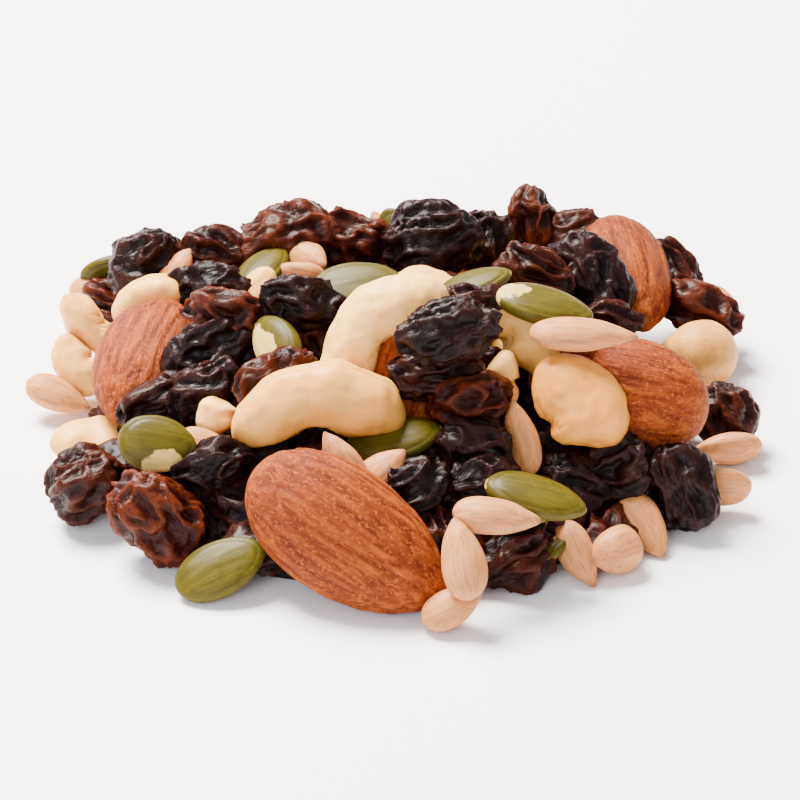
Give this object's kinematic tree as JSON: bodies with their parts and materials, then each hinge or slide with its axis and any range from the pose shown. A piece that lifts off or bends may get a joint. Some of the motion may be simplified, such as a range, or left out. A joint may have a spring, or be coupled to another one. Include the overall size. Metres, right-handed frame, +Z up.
{
  "type": "trail mix heap",
  "caption": "Loose low heap of trail mix: raisins, whole almonds, cashews, pumpkin seeds, sunflower kernels and a round nut, fused into one body with an uneven outline.",
  "frame": {"origin": "on the surface that the heap lies on, under its middle, at the middle of the core's flat underside", "axes": "+Z up; -Y towards the side that the picture shows; +X to the right in the picture"},
  "size_m": [0.0874, 0.0805, 0.0277],
  "materials": {
    "trail_mix": "dry food, mixed: wrinkled dark raisins, brown almond skins, cream cashews and kernels, olive seeds"
  },
  "bodies": {
    "root": {"trail_mix": "trail_mix"}
  },
  "joints": []
}
